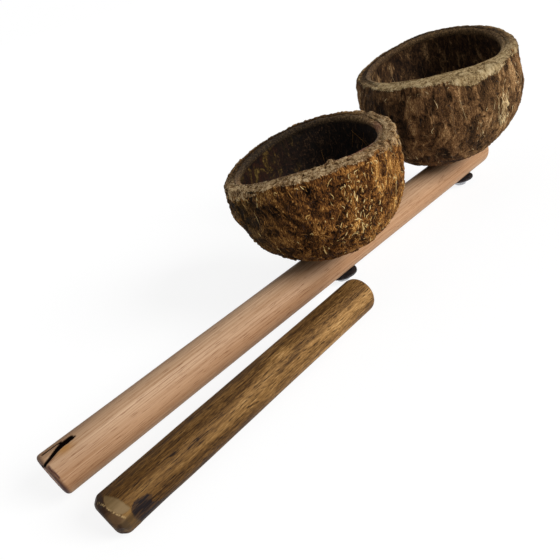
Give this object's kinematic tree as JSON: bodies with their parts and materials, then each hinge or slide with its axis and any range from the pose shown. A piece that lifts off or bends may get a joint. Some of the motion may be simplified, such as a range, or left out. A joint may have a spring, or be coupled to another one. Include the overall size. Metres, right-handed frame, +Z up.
{
  "type": "coconut shell agogo",
  "caption": "Coconut-shell cups bolted open side up along a round wooden stick, struck with a separate wooden beater.",
  "frame": {"origin": "middle of the near bolt's flat end, flush with the nut's underside, on the surface that the nuts stand on", "axes": "+X along the stick from the handle to the far cup, +Z up out of the cups, the beater lies on the -Y side"},
  "size_m": [0.5038, 0.1371, 0.1332],
  "materials": {
    "stick_wood": "bare planed hardwood, fine straight grain, satin",
    "near_husk": "rough coconut shell with husk fibres, matte",
    "far_husk": "rough grey-brown coconut shell with husk fibres, matte",
    "beater_wood": "dark olive-brown hardwood, streaky grain, low sheen",
    "zinc_steel": "bright zinc plated",
    "dark_steel": "black oxide, dull"
  },
  "bodies": {
    "instrument": {"handle_stick": "stick_wood", "near_shell": "near_husk", "near_bolt": "zinc_steel", "near_inner_washer": "zinc_steel", "near_outer_washer": "dark_steel", "near_nut": "zinc_steel", "far_shell": "far_husk", "far_bolt": "zinc_steel", "far_inner_washer": "zinc_steel", "far_outer_washer": "dark_steel", "far_nut": "zinc_steel"},
    "beater": {"beater": "beater_wood"}
  },
  "joints": [
    {"name": "beater_lift", "type": "slide", "parent": "instrument", "child": "beater", "axis": [0, -0.6, 0.8], "range_m": [0, 0.25]}
  ]
}
